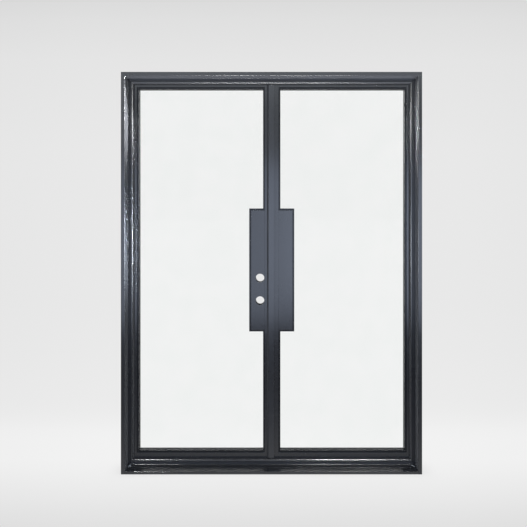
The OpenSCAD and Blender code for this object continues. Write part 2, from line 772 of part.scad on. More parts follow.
left_jamb();
right_jamb();
head();
sill();
left_jamb_seal();
right_jamb_seal();
head_seal();
sill_seal();
left_frame_barrels();
right_frame_barrels();
left_hinge_pins();
right_hinge_pins();
left_hinge_washers();
right_hinge_washers();
left_hinge_stile();
left_meeting_stile();
left_top_rail();
left_bottom_rail();
left_lock_box();
left_exterior_stops();
left_top_bead();
left_bottom_bead();
left_hinge_side_bead();
left_meeting_beads();
left_box_beads();
left_outer_pane();
left_inner_pane();
left_spacer_bar();
left_glazing_gaskets();
left_setting_blocks();
left_bead_screws();
left_sweep();
left_leaf_barrels();
right_hinge_stile();
right_meeting_stile();
right_top_rail();
right_bottom_rail();
right_lock_box();
right_exterior_stops();
right_top_bead();
right_bottom_bead();
right_hinge_side_bead();
right_meeting_beads();
right_box_beads();
right_outer_pane();
right_inner_pane();
right_spacer_bar();
right_glazing_gaskets();
right_setting_blocks();
right_bead_screws();
right_sweep();
right_leaf_barrels();
astragal();
astragal_seal();
top_bolt_guide();
bottom_bolt_guide();
top_flush_bolt();
bottom_flush_bolt();
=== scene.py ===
"""French doors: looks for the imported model. Metres, in the row's frame."""
import json
import math
import random

import bmesh
import bpy
import numpy as np
from mathutils import Matrix, Vector

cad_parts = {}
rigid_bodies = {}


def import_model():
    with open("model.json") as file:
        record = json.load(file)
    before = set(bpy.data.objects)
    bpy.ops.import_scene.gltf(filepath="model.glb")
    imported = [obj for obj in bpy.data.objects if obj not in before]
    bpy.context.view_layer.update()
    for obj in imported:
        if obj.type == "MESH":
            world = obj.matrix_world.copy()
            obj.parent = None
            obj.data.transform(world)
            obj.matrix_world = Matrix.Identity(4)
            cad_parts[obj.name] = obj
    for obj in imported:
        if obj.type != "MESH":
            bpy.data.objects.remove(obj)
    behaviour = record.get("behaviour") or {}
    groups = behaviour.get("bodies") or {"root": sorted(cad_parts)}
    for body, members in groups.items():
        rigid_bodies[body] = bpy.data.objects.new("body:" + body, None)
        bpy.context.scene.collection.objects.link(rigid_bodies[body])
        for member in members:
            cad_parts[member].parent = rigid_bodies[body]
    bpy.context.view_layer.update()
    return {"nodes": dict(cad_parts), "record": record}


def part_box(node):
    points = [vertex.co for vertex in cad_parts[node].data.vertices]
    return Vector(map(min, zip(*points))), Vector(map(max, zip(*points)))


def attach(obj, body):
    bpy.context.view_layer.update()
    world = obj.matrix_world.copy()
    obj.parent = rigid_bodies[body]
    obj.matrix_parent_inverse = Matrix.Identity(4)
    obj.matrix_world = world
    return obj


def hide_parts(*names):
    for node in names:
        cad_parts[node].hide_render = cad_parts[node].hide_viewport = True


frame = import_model()
nodes = frame["nodes"]
rng = random.Random(41)
scene = bpy.context.scene
MM = 0.001
EYE = Vector((0.050, -3.067, 1.611))
LENS_MM, SENSOR_MM = 34.02, 36.0
SHIFT_X, SHIFT_Y = -0.0309, -0.1072

# ---------------------------------------------------------------- camera

camera_data = bpy.data.cameras.new("camera")
camera_data.sensor_width = SENSOR_MM
camera_data.lens = LENS_MM
camera_data.shift_x = SHIFT_X
camera_data.shift_y = SHIFT_Y
camera_data.clip_end = 200.0
camera = bpy.data.objects.new("camera", camera_data)
camera.location = EYE
camera.rotation_euler = (math.radians(90.0), 0.0, 0.0)
scene.collection.objects.link(camera)
scene.camera = camera
scene.view_settings.view_transform = "Standard"
scene.view_settings.look = "None"
scene.view_settings.exposure = 0.0
scene.view_settings.gamma = 1.0


# ---------------------------------------------------------------- node helpers

class Net:
    """Shorthand for building a shader or geometry node tree."""

    def __init__(self, tree):
        self.tree = tree
        tree.nodes.clear()

    def add(self, kind, inputs=None, **settings):
        node = self.tree.nodes.new(kind)
        for key, value in settings.items():
            setattr(node, key, value)
        for key, value in (inputs or {}).items():
            self.put(node.inputs[key], value)
        return node

    def put(self, socket, value):
        """Links a socket or a node's first output to the socket, or sets its value."""
        if isinstance(value, bpy.types.NodeSocket):
            self.tree.links.new(value, socket)
        elif isinstance(value, bpy.types.Node):
            self.tree.links.new(value.outputs[0], socket)
        else:
            socket.default_value = value

    def math(self, operation, a, b=0.0):
        return self.add("ShaderNodeMath", {0: a, 1: b}, operation=operation).outputs[0]

    def vector(self, operation, a, b=(0, 0, 0)):
        return self.add("ShaderNodeVectorMath", {0: a, 1: b}, operation=operation)

    def dot(self, a, b):
        return self.vector("DOT_PRODUCT", a, b).outputs["Value"]

    def span(self, value, low, high, to_low=0.0, to_high=1.0, smooth=True):
        kind = "SMOOTHSTEP" if smooth else "LINEAR"
        return self.add("ShaderNodeMapRange", {
            "Value": value, "From Min": low, "From Max": high, "To Min": to_low, "To Max": to_high,
        }, interpolation_type=kind).outputs[0]

    def mix(self, factor, a, b):
        node = self.add("ShaderNodeMix", data_type="RGBA")
        self.put(node.inputs[0], factor)
        self.put(node.inputs[6], a)
        self.put(node.inputs[7], b)
        return node.outputs[2]

    def ramp(self, value, stops):
        """A straight-line colour ramp; a stop's colour is a grey level or a triple."""
        node = self.add("ShaderNodeValToRGB", {0: value})
        ramp = node.color_ramp
        while len(ramp.elements) > 1:
            ramp.elements.remove(ramp.elements[-1])
        for index, (place, colour) in enumerate(stops):
            element = ramp.elements[0] if index == 0 else ramp.elements.new(place)
            element.position = place
            if isinstance(colour, (int, float)):
                colour = (colour, colour, colour)
            element.color = (*colour, 1.0)
        return node.outputs[0]

    def noise(self, vector, scale, detail=2.0, rough=0.5, warp=0.0):
        return self.add("ShaderNodeTexNoise", {
            "Vector": vector, "Scale": scale, "Detail": detail, "Roughness": rough,
            "Distortion": warp,
        }).outputs[0]


def linear(level):
    """Linear light of an sRGB level from 0 to 255."""
    value = level / 255.0
    return value / 12.92 if value <= 0.04045 else ((value + 0.055) / 1.055) ** 2.4


def new_material(name):
    """An empty node material, its node builder and its output node."""
    material = bpy.data.materials.new(name)
    material.use_nodes = True
    net = Net(material.node_tree)
    output = net.add("ShaderNodeOutputMaterial")
    return material, net, output


# ---------------------------------------------------------------- materials

WORN_RADIUS = 1.6 * MM
DUST = (0.16, 0.155, 0.145)


def paint(name, colour, rough=0.34, specular=0.4, peel=1.0, worn=1.0, bloom=0.0):
    """Semi-gloss sprayed paint on steel: soft mottling, orange peel, dust and lighter edges.

    peel and worn scale the orange peel and the rubbed edges; bloom is the strength of the
    powdery film that shows at a grazing view.
    """
    material, net, output = new_material(name)
    place = net.add("ShaderNodeTexCoord").outputs["Object"]
    geometry = net.add("ShaderNodeNewGeometry")
    broad = net.noise(place, 2.6, 3.0, 0.55)
    cloud = net.noise(place, 34.0, 4.0, 0.6, 0.4)
    grain = net.noise(place, 620.0, 2.0, 0.5)
    fine = net.noise(place, 2400.0, 1.0, 0.5)
    rounded = net.add("ShaderNodeBevel", {"Radius": WORN_RADIUS}, samples=4)
    edge = net.math("SUBTRACT", 1.0, net.dot(rounded.outputs[0], geometry.outputs["Normal"]))
    wear = net.span(net.math("MULTIPLY", edge, net.span(cloud, 0.35, 0.65, 0.3, 1.2)), 0.03, 0.25)
    tone = net.math("ADD", net.span(broad, 0.3, 0.7, 0.90, 1.10),
                    net.span(cloud, 0.3, 0.7, -0.05, 0.05))
    tone = net.math("ADD", tone, net.span(grain, 0.35, 0.65, -0.035, 0.035))
    base = net.vector("SCALE", colour)
    net.put(base.inputs["Scale"], tone)
    rubbed = tuple(min(1.0, c * 3.2 + 0.012) for c in colour)
    shade = net.mix(net.math("MULTIPLY", wear, 0.55 * worn), base.outputs[0], (*rubbed, 1.0))
    upward = net.span(net.dot(geometry.outputs["Normal"], (0.0, 0.0, 1.0)), 0.55, 0.95)
    specks = net.math("MULTIPLY", net.span(net.noise(place, 310.0, 3.0, 0.7), 0.62, 0.74),
                      net.span(net.noise(place, 16.0, 2.0, 0.6), 0.48, 0.62))
    dust = net.math("MULTIPLY", upward, specks)
    shade = net.mix(net.math("MULTIPLY", dust, 0.24), shade, (*DUST, 1.0))
    roughness = net.math("ADD", net.span(cloud, 0.3, 0.7, rough - 0.015, rough + 0.02),
                         net.math("MULTIPLY", dust, 0.2))
    height = net.math("ADD", grain, net.math("MULTIPLY", fine, 0.35))
    bump = net.add("ShaderNodeBump", {"Strength": 0.16 * peel, "Distance": 0.4 * MM,
                                      "Height": height})
    shader = net.add("ShaderNodeBsdfPrincipled", {
        "Base Color": shade, "Roughness": roughness, "Normal": bump.outputs[0]})
    shader.inputs["Specular IOR Level"].default_value = specular
    shader.inputs["Sheen Weight"].default_value = bloom
    shader.inputs["Sheen Roughness"].default_value = 0.35
    net.put(output.inputs[0], shader)
    return material


def rubber(name, colour, rough=0.62, ribs=0.0):
    """Extruded rubber: matt, faintly bloomed and grained; ribs deepens its slow unevenness."""
    material, net, output = new_material(name)
    place = net.add("ShaderNodeTexCoord").outputs["Object"]
    bloom = net.noise(place, 22.0, 4.0, 0.6)
    grain = net.noise(place, 1500.0, 2.0, 0.6)
    shade = net.mix(net.span(bloom, 0.35, 0.75, 0.0, 0.5), (*colour, 1.0),
                    (*[c * 2.1 + 0.004 for c in colour], 1.0))
    roughness = net.span(bloom, 0.3, 0.7, rough - 0.08, rough + 0.1)
    height = net.math("ADD", grain, net.math("MULTIPLY", net.noise(place, 90.0, 2.0), 0.6 + ribs))
    bump = net.add("ShaderNodeBump", {"Strength": 0.3, "Distance": 0.2 * MM, "Height": height})
    shader = net.add("ShaderNodeBsdfPrincipled", {
        "Base Color": shade, "Roughness": roughness, "Normal": bump.outputs[0]})
    shader.inputs["Specular IOR Level"].default_value = 0.3
    net.put(output.inputs[0], shader)
    return material


def metal(name, colour, rough=0.3, stretch=(1.0, 1.0, 0.04), stain=0.35):
    """Turned, zinc plated or anodised metal, with drawn lines and dull patches."""
    material, net, output = new_material(name)
    place = net.add("ShaderNodeTexCoord").outputs["Object"]
    lines = net.noise(net.vector("MULTIPLY", place, stretch).outputs[0], 1800.0, 2.0, 0.6)
    patch = net.noise(place, 45.0, 4.0, 0.65, 0.6)
    dull = net.span(patch, 0.42, 0.72)
    shade = net.mix(net.math("MULTIPLY", dull, stain), (*colour, 1.0),
                    (*[c * 0.55 for c in colour], 1.0))
    shade = net.mix(net.span(lines, 0.3, 0.7, 0.0, 0.18), shade, (*[c * 0.7 for c in colour], 1.0))
    roughness = net.math("ADD", net.span(lines, 0.3, 0.7, rough - 0.05, rough + 0.07),
                         net.math("MULTIPLY", dull, 0.18))
    bump = net.add("ShaderNodeBump", {"Strength": 0.12, "Distance": 0.1 * MM, "Height": lines})
    shader = net.add("ShaderNodeBsdfPrincipled", {
        "Base Color": shade, "Roughness": roughness, "Normal": bump.outputs[0]})
    shader.inputs["Metallic"].default_value = 1.0
    net.put(output.inputs[0], shader)
    return material


def glass(name):
    """Clear float glass, faintly uneven, with a thin film; it lets light through to what it
    would shade."""
    material, net, output = new_material(name)
    place = net.add("ShaderNodeTexCoord").outputs["Object"]
    film = net.noise(place, 7.0, 4.0, 0.6)
    waves = net.noise(place, 1.6, 1.0)
    shade = net.mix(net.span(film, 0.3, 0.7), (0.995, 1.0, 0.998, 1.0), (0.985, 0.994, 0.99, 1.0))
    bump = net.add("ShaderNodeBump", {"Strength": 0.02, "Distance": 0.5 * MM, "Height": waves})
    shader = net.add("ShaderNodeBsdfPrincipled", {
        "Base Color": shade, "Roughness": net.span(film, 0.45, 0.75, 0.0, 0.012),
        "Normal": bump.outputs[0]})
    shader.inputs["Transmission Weight"].default_value = 1.0
    shader.inputs["IOR"].default_value = 1.34
    clear = net.add("ShaderNodeBsdfTransparent", {"Color": (0.97, 0.985, 0.98, 1.0)})
    light_path = net.add("ShaderNodeLightPath")
    mixed = net.add("ShaderNodeMixShader", {0: light_path.outputs["Is Shadow Ray"],
                                            1: shader.outputs[0], 2: clear.outputs[0]})
    net.put(output.inputs[0], mixed)
    return material


def sealant(name, colour):
    """Smeared joint sealant, uneven and half matt."""
    material, net, output = new_material(name)
    place = net.add("ShaderNodeTexCoord").outputs["Object"]
    lumps = net.noise(place, 160.0, 4.0, 0.65, 0.5)
    shade = net.mix(net.span(lumps, 0.4, 0.62), (*[c * 0.28 for c in colour], 1.0), (*colour, 1.0))
    bump = net.add("ShaderNodeBump", {"Strength": 0.5, "Distance": 0.6 * MM, "Height": lumps})
    shader = net.add("ShaderNodeBsdfPrincipled", {
        "Base Color": shade, "Roughness": net.span(lumps, 0.3, 0.7, 0.4, 0.6),
        "Normal": bump.outputs[0]})
    net.put(output.inputs[0], shader)
    return material


INK = (0.0105, 0.0112, 0.0135)
# The beads' ink is darker than the frame's. This is painted shade for the recess where the beads
# sit back from the stiles, rails and lock box.
BEAD_INK_WITH_PAINTED_SHADE = (0.0075, 0.0080, 0.0100)
ASTRAGAL_INK = (0.0125, 0.0135, 0.0165)
GLOSS = 0.18
frame_paint = paint("frame_paint", INK, GLOSS, peel=0.08, worn=0.3, bloom=0.2)
leaf_paint = paint("leaf_paint", INK, GLOSS, peel=0.3, worn=0.3)
# bead_paint takes the darker ink: painted shade on the recessed beads.
bead_paint = paint("bead_paint", BEAD_INK_WITH_PAINTED_SHADE, 0.2, 0.15, peel=0.3, worn=0.3)
astragal_paint = paint("astragal_paint", ASTRAGAL_INK, GLOSS, 0.44, peel=0.3, worn=0.3)
hinge_paint = paint("hinge_paint", INK, 0.36, peel=1.4)
hinge_steel = metal("hinge_steel", (0.42, 0.42, 0.43), 0.26, (1.0, 1.0, 6.0))
screw_steel = metal("screw_steel", (0.16, 0.16, 0.165), 0.38)
bolt_steel = metal("bolt_steel", (0.50, 0.50, 0.49), 0.30)
spacer_aluminium = metal("spacer_aluminium", (0.022, 0.023, 0.025), 0.45, (0.2, 1.0, 0.2), 0.15)
seal_rubber = rubber("seal_rubber", (0.0060, 0.0060, 0.0066))
glazing_rubber = rubber("glazing_rubber", (0.0065, 0.0065, 0.0070), 0.7)
block_rubber = rubber("block_rubber", (0.010, 0.010, 0.011), 0.7)
sweep_rubber = rubber("sweep_rubber", (0.0070, 0.0070, 0.0074), 0.58, 0.4)
clear_glass = glass("glass")
grey_sealant = sealant("grey_sealant", (0.16, 0.19, 0.22))

MATERIALS = {
    "frame_paint": frame_paint, "leaf_paint": leaf_paint, "bead_paint": bead_paint,
    "astragal_paint": astragal_paint, "hinge_paint": hinge_paint, "hinge_steel": hinge_steel,
    "screw_steel": screw_steel, "bolt_steel": bolt_steel, "seal_rubber": seal_rubber,
    "glazing_rubber": glazing_rubber, "block_rubber": block_rubber, "sweep_rubber": sweep_rubber,
    "spacer_aluminium": spacer_aluminium, "glass": clear_glass,
}
slot_of = {part["node"]: part["material_slot"] for part in frame["record"]["subparts"]}
for node_name, cad_node in nodes.items():
    finish = MATERIALS[slot_of[node_name]]
    if not cad_node.material_slots:
        cad_node.data.materials.append(finish)
    for material_slot in cad_node.material_slots:
        material_slot.material = finish


# ---------------------------------------------------------------- rounded edges on the CAD nodes

WELD_GAP = 0.01 * MM
SHARP_ANGLE = math.radians(38.0)
BEVEL_ANGLE = 0.7
ALIGNED = 0.995


def edge_picker():
    """Geometry nodes that weight the sharp, long edges along the named axes for a bevel."""
    tree = bpy.data.node_groups.new("edge_picker", "GeometryNodeTree")
    net = Net(tree)
    tree.interface.new_socket("Geometry", in_out="INPUT", socket_type="NodeSocketGeometry")
    tree.interface.new_socket("Axes", in_out="INPUT", socket_type="NodeSocketVector")
    tree.interface.new_socket("Shortest", in_out="INPUT", socket_type="NodeSocketFloat")
    tree.interface.new_socket("Geometry", in_out="OUTPUT", socket_type="NodeSocketGeometry")
    source = net.add("NodeGroupInput")
    sink = net.add("NodeGroupOutput")
    merged = net.add("GeometryNodeMergeByDistance", {
        "Distance": WELD_GAP, "Geometry": source.outputs["Geometry"]})
    ends = net.add("GeometryNodeInputMeshEdgeVertices")
    run = net.vector("SUBTRACT", ends.outputs["Position 1"], ends.outputs["Position 2"]).outputs[0]
    length = net.vector("LENGTH", run).outputs["Value"]
    along = net.dot(net.vector("ABSOLUTE", run).outputs[0], source.outputs["Axes"])
    angle = net.add("GeometryNodeInputMeshEdgeAngle").outputs["Unsigned Angle"]
    picked = net.math("MULTIPLY", net.math("GREATER_THAN", angle, BEVEL_ANGLE),
                      net.math("GREATER_THAN", length, source.outputs["Shortest"]))
    aligned = net.math("GREATER_THAN", along, net.math("MULTIPLY", length, ALIGNED))
    picked = net.math("MULTIPLY", picked, aligned)
    stored = net.add("GeometryNodeStoreNamedAttribute", {
        "Geometry": merged.outputs[0], "Name": "bevel_weight_edge", "Value": picked},
        data_type="FLOAT", domain="EDGE")
    net.put(sink.inputs["Geometry"], stored)
    return tree


def edge_sharpener():
    """Geometry nodes that shade smooth and keep the edges over 38 degrees sharp."""
    tree = bpy.data.node_groups.new("edge_sharpener", "GeometryNodeTree")
    net = Net(tree)
    tree.interface.new_socket("Geometry", in_out="INPUT", socket_type="NodeSocketGeometry")
    tree.interface.new_socket("Geometry", in_out="OUTPUT", socket_type="NodeSocketGeometry")
    source = net.add("NodeGroupInput")
    sink = net.add("NodeGroupOutput")
    angle = net.add("GeometryNodeInputMeshEdgeAngle").outputs["Unsigned Angle"]
    faces = net.add("GeometryNodeSetShadeSmooth", {
        "Geometry": source.outputs[0], "Shade Smooth": True}, domain="FACE")
    smooth = net.math("LESS_THAN", angle, SHARP_ANGLE)
    edges = net.add("GeometryNodeSetShadeSmooth", {
        "Geometry": faces.outputs[0], "Shade Smooth": smooth}, domain="EDGE")
    net.put(sink.inputs["Geometry"], edges)
    return tree


PICKER = edge_picker()
SHARPENER = edge_sharpener()
PICKER_KEYS = {item.name: item.identifier for item in PICKER.interface.items_tree
               if item.in_out == "INPUT"}


def soften(name, width, axes, shortest=0.02, segments=3):
    """Rounds the long edges of a CAD node that run along the axes, by modifiers alone.

    With no width the node is only welded and shaded smooth.
    """
    node = nodes[name]
    if width:
        pick = node.modifiers.new("pick", "NODES")
        pick.node_group = PICKER
        pick[PICKER_KEYS["Axes"]] = axes
        pick[PICKER_KEYS["Shortest"]] = shortest
        bevel = node.modifiers.new("round", "BEVEL")
        bevel.limit_method = "WEIGHT"
        bevel.width = width
        bevel.segments = segments
        bevel.use_clamp_overlap = False
    else:
        weld = node.modifiers.new("weld", "WELD")
        weld.merge_threshold = WELD_GAP
    sharp = node.modifiers.new("sharp", "NODES")
    sharp.node_group = SHARPENER
    normals = node.modifiers.new("normals", "WEIGHTED_NORMAL")
    normals.keep_sharp = True


UPRIGHT, LEVEL, ALL = (0.0, 0.0, 1.0), (1.0, 0.0, 0.0), (1.0, 1.0, 1.0)
UPRIGHT_AND_LEVEL = (1.0, 0.0, 1.0)
FRAME_EDGE, TUBE_EDGE, BAR_EDGE, GUIDE_EDGE = 0.9 * MM, 1.5 * MM, 0.8 * MM, 0.4 * MM
WASHER_SLACK = 0.02 * MM
BEADS = ("top_bead", "bottom_bead", "hinge_side_bead", "meeting_beads", "box_beads")
for side in ("left_", "right_"):
    soften(side + "jamb", FRAME_EDGE, UPRIGHT, 0.5)
    for part in ("hinge_stile", "meeting_stile"):
        soften(side + part, TUBE_EDGE, UPRIGHT, 0.5)
    for part in ("top_rail", "bottom_rail"):
        soften(side + part, TUBE_EDGE, LEVEL, 0.3)
    soften(side + "lock_box", TUBE_EDGE, ALL, 0.03)
    for part in ("exterior_stops", *BEADS):
        soften(side + part, BAR_EDGE, UPRIGHT_AND_LEVEL)
    for part in ("frame_barrels", "leaf_barrels"):
        soften(side + part, BAR_EDGE, ALL, 0.003)
    for part in ("hinge_pins", "hinge_washers"):
        soften(side + part, 0.0, ALL)
    # The washers' faces lie flush on the barrels', so they give way a little.
    slack = nodes[side + "hinge_washers"].modifiers.new("slack", "DISPLACE")
    slack.mid_level = 0.0
    slack.strength = -WASHER_SLACK
    for part in ("spacer_bar", "outer_pane", "inner_pane"):
        soften(side + part, 0.0, ALL)
soften("head", FRAME_EDGE, LEVEL, 0.5)
soften("sill", FRAME_EDGE, LEVEL, 0.5)
soften("astragal", BAR_EDGE, UPRIGHT, 0.5)
for part in ("top_bolt_guide", "bottom_bolt_guide"):
    soften(part, GUIDE_EDGE, ALL, 0.004, 2)
for part in ("top_flush_bolt", "bottom_flush_bolt"):
    soften(part, 0.0, ALL)


# ---------------------------------------------------------------- detail pieces

def piece(name, verts, faces, body, finish, replaced=(), smooth_angle=40.0):
    """A mesh object that rides a body, and that may stand in for CAD nodes."""
    mesh = bpy.data.meshes.new(name)
    mesh.from_pydata([tuple(v) for v in verts], [], faces)
    mesh.validate()
    bm = bmesh.new()
    bm.from_mesh(mesh)
    bmesh.ops.recalc_face_normals(bm, faces=bm.faces)
    limit = math.radians(smooth_angle)
    for face in bm.faces:
        face.smooth = True
    for edge in bm.edges:
        edge.smooth = len(edge.link_faces) == 2 and edge.calc_face_angle(0.0) < limit
    bm.to_mesh(mesh)
    bm.free()
    made = bpy.data.objects.new(name, mesh)
    scene.collection.objects.link(made)
    mesh.materials.append(finish)
    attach(made, body)
    if replaced:
        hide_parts(*replaced)


def tube_faces(rings, around, start=0):
    """Faces of a closed tube of rings whose vertices begin at start."""
    faces = []
    for ring in range(rings - 1):
        a, b = start + ring * around, start + (ring + 1) * around
        for k in range(around):
            n = (k + 1) % around
            faces.append((a + k, a + n, b + n, b + k))
    faces.append(tuple(start + k for k in reversed(range(around))))
    last = start + (rings - 1) * around
    faces.append(tuple(last + k for k in range(around)))
    return faces


def strip(name, outline, low, high, place, body, finish, replaced, step=0.06, wobble=0.12):
    """Runs an outline of (a, b, free) points from low to high.

    place turns (a, b, run) into a point; free is how far a point follows the strip's wobble,
    which is in millimetres.
    """
    count = max(2, int((high - low) / step) + 1)
    verts = []
    phase = rng.uniform(0.0, 6.0)
    for ring in range(count):
        run = low + (high - low) * ring / (count - 1)
        sway = wobble * MM * math.sin(phase + run * 7.0) * math.sin(math.pi * ring / (count - 1))
        for a, b, free in outline:
            verts.append(place(a + sway * free, b, run))
    piece(name, verts, tube_faces(count, len(outline)), body, finish, replaced, 50.0)


def bulb_outline(width, depth, flip=False):
    """Strip seal: a flat foot with ribs and a hollow-looking bulb that reaches the full depth."""
    foot = 0.30 * depth
    root = 0.55 * foot
    middle, reach = 0.66 * width, 0.33 * width
    arc_steps = 13
    points = [(0.0, 0.0, 0.0), (width, 0.0, 0.0), (width, root, 0.0)]
    for k in range(1, arc_steps):
        angle = math.pi * k / arc_steps
        points.append((middle + reach * math.cos(angle),
                       root + (depth - root) * math.sin(angle) ** 0.8, 0.5))
    points += [(0.30 * width, foot, 0.0), (0.22 * width, 1.5 * foot, 0.0),
               (0.16 * width, foot, 0.0), (0.08 * width, 1.4 * foot, 0.0), (0.0, foot, 0.0)]
    if flip:
        points = [(width - a, b, -free) for a, b, free in reversed(points)]
    return points


def frame_seals():
    """The bulb seals behind the stops of jambs, head and sill."""
    for side, flip in (("left", False), ("right", True)):
        low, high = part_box(side + "_jamb_seal")
        strip(side + "_jamb_bulb_seal", bulb_outline(high.x - low.x, high.y - low.y, flip),
              low.z, high.z, lambda a, b, run, low=low: (low.x + a, low.y + b, run),
              "frame", seal_rubber, (side + "_jamb_seal",))
    low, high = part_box("head_seal")
    strip("head_bulb_seal", bulb_outline(high.z - low.z, high.y - low.y, True), low.x, high.x,
          lambda a, b, run: (run, low.y + b, low.z + a), "frame", seal_rubber,
          ("head_seal",))
    sill_low, sill_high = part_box("sill_seal")
    strip("sill_bulb_seal", bulb_outline(sill_high.z - sill_low.z, sill_high.y - sill_low.y),
          sill_low.x, sill_high.x, lambda a, b, run: (run, sill_low.y + b, sill_low.z + a),
          "frame", seal_rubber, ("sill_seal",))


def astragal_seal():
    """The bulb seal between the astragal and the left leaf."""
    low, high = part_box("astragal_seal")
    strip("astragal_bulb_seal", bulb_outline(high.x - low.x, high.y - low.y, True), low.z, high.z,
          lambda a, b, run: (low.x + a, low.y + b, run), "right_leaf", seal_rubber,
          ("astragal_seal",))


def sweep_outline(width, height):
    """Three fins under a flat flange; a runs across the leaf, b up from the fins' tips."""
    points = []
    fins = 3
    pitch = width / fins
    for fin in range(fins):
        middle = pitch * (fin + 0.5)
        lean = (fin - 1) * 0.10 * pitch
        points += [(middle - 0.34 * pitch, 0.62 * height, 0.0),
                   (middle - 0.16 * pitch + lean, 0.22 * height, 0.6),
                   (middle - 0.09 * pitch + lean, 0.0, 1.0),
                   (middle + 0.09 * pitch + lean, 0.0, 1.0),
                   (middle + 0.16 * pitch + lean, 0.22 * height, 0.6),
                   (middle + 0.34 * pitch, 0.62 * height, 0.0)]
    points += [(width, 0.66 * height, 0.0), (width, height, 0.0), (0.0, height, 0.0),
               (0.0, 0.66 * height, 0.0)]
    return points


def sweeps():
    """The finned rubber sweeps under the leaves."""
    for side in ("left", "right"):
        low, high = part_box(side + "_sweep")
        strip(side + "_finned_sweep", sweep_outline(high.y - low.y, high.z - low.z), low.x, high.x,
              lambda a, b, run, low=low: (run, low.y + a, low.z + b), side + "_leaf",
              sweep_rubber, (side + "_sweep",), 0.05, 0.25)


SAME_POINT = 0.02 * MM


def islands(node):
    """Vertex clouds of the separate solids of a CAD node, in a fixed order."""
    mesh = nodes[node].data
    coords = np.zeros(len(mesh.vertices) * 3)
    mesh.vertices.foreach_get("co", coords)
    coords = coords.reshape(-1, 3)
    keys, merged = {}, []
    for co in coords:
        key = tuple(np.round(co / SAME_POINT).astype(int))
        merged.append(keys.setdefault(key, len(keys)))
    parent = list(range(len(keys)))

    def root(k):
        while parent[k] != k:
            parent[k] = parent[parent[k]]
            k = parent[k]
        return k

    for polygon in mesh.polygons:
        first = root(merged[polygon.vertices[0]])
        for v in polygon.vertices[1:]:
            parent[root(merged[v])] = first
    groups = {}
    for index, co in enumerate(coords):
        groups.setdefault(root(merged[index]), []).append(co)
    return sorted((np.array(g) for g in groups.values()),
                  key=lambda g: tuple(np.round(g.mean(0), 4)))


def screw_template(head_r, head_h, shank_r, length):
    """Sunk cross-head screw with its face at z = 0 and its shank downwards."""
    bm = bmesh.new()
    around = 24

    def ring(radius, z):
        return [bm.verts.new((radius * math.cos(2 * math.pi * k / around),
                              radius * math.sin(2 * math.pi * k / around), z))
                for k in range(around)]

    def loop(verts):
        return [bm.edges.get((a, b)) or bm.edges.new((a, b))
                for a, b in zip(verts, verts[1:] + verts[:1])]

    def cross(reach, half, z):
        points = []
        for turn in range(4):
            c, s = math.cos(turn * math.pi / 2), math.sin(turn * math.pi / 2)
            for x, y in ((half, -half), (reach, -half), (reach, half)):
                points.append((x * c - y * s, x * s + y * c))
        return [bm.verts.new((x, y, z)) for x, y in points]

    rim = ring(head_r, 0.0)
    slot_top = cross(0.62 * head_r, 0.15 * head_r, 0.0)
    slot_low = cross(0.36 * head_r, 0.10 * head_r, -0.62 * head_h)
    bmesh.ops.triangle_fill(bm, use_beauty=True, edges=loop(rim) + loop(slot_top))
    count = len(slot_top)
    for k in range(count):
        n = (k + 1) % count
        bm.faces.new((slot_top[k], slot_top[n], slot_low[n], slot_low[k]))
    bm.faces.new(slot_low)
    rings = [rim, ring(head_r * 0.98, -0.25 * MM), ring(shank_r, -head_h),
             ring(shank_r, 0.6 * MM - length), ring(0.4 * shank_r, -length)]
    for upper, lower in zip(rings, rings[1:]):
        for k in range(around):
            n = (k + 1) % around
            bm.faces.new((upper[k], upper[n], lower[n], lower[k]))
    bm.faces.new(rings[-1])
    bmesh.ops.recalc_face_normals(bm, faces=bm.faces)
    bm.verts.index_update()
    verts = np.array([v.co for v in bm.verts])
    faces = [tuple(v.index for v in f.verts) for f in bm.faces]
    bm.free()
    return verts, faces


def bead_screws():
    """Cross-head screws in place of the interior beads' plain ones."""
    head_h = 2.2 * MM
    for side in ("left", "right"):
        verts, faces = [], []
        for cloud in islands(side + "_bead_screws"):
            low, high = cloud.min(0), cloud.max(0)
            axis = int(np.argmax(high - low))
            middle = (low + high) / 2
            others = [k for k in range(3) if k != axis]
            spread = np.abs(cloud[:, others] - middle[others]).max(1)
            at_low = spread[cloud[:, axis] < middle[axis]].max()
            at_high = spread[cloud[:, axis] > middle[axis]].max()
            outward = -1.0 if at_low > at_high else 1.0
            head_r, shank_r = max(at_low, at_high), min(at_low, at_high)
            template, shape = screw_template(head_r, head_h, shank_r, high[axis] - low[axis])
            up = Vector([outward if k == axis else 0.0 for k in range(3)])
            spin = Matrix.Rotation(rng.uniform(0, 1.57), 3, "Z")
            turn = up.to_track_quat("Z", "Y").to_matrix() @ spin
            head = Vector(middle)
            head[axis] = high[axis] if outward > 0 else low[axis]
            base = len(verts)
            verts += [head + turn @ Vector(v) for v in template]
            faces += [tuple(base + k for k in f) for f in shape]
        piece(side + "_cross_head_screws", verts, faces, side + "_leaf", screw_steel,
              (side + "_bead_screws",), 30.0)


def bead_run(verts, faces, start, end, radius, out, ripple=1.9 * MM):
    """A rippled weld bead from start to end; out points away from the corner that it fills."""
    start, end, out = Vector(start), Vector(end), Vector(out).normalized()
    run = (end - start).normalized()
    across = run.cross(out).normalized()
    length = (end - start).length
    steps = max(6, int(length / ripple) * 4)
    around = 8
    base = len(verts)
    for ring in range(steps + 1):
        share = ring / steps
        wave = 0.5 + 0.5 * math.cos(2 * math.pi * (share * length / ripple))
        taper = min(1.0, 0.35 + 5.0 * min(share, 1.0 - share))
        size = radius * taper * (0.86 + 0.14 * wave + rng.uniform(-0.02, 0.02))
        centre = start + run * (length * share)
        for k in range(around):
            angle = 2 * math.pi * k / around
            lag = 0.35 * ripple * (1.0 - abs(math.cos(angle))) * taper
            verts.append(centre + out * (size * math.cos(angle)) + across * (size * math.sin(angle))
                         - run * lag)
    faces += tube_faces(steps + 1, around, base)


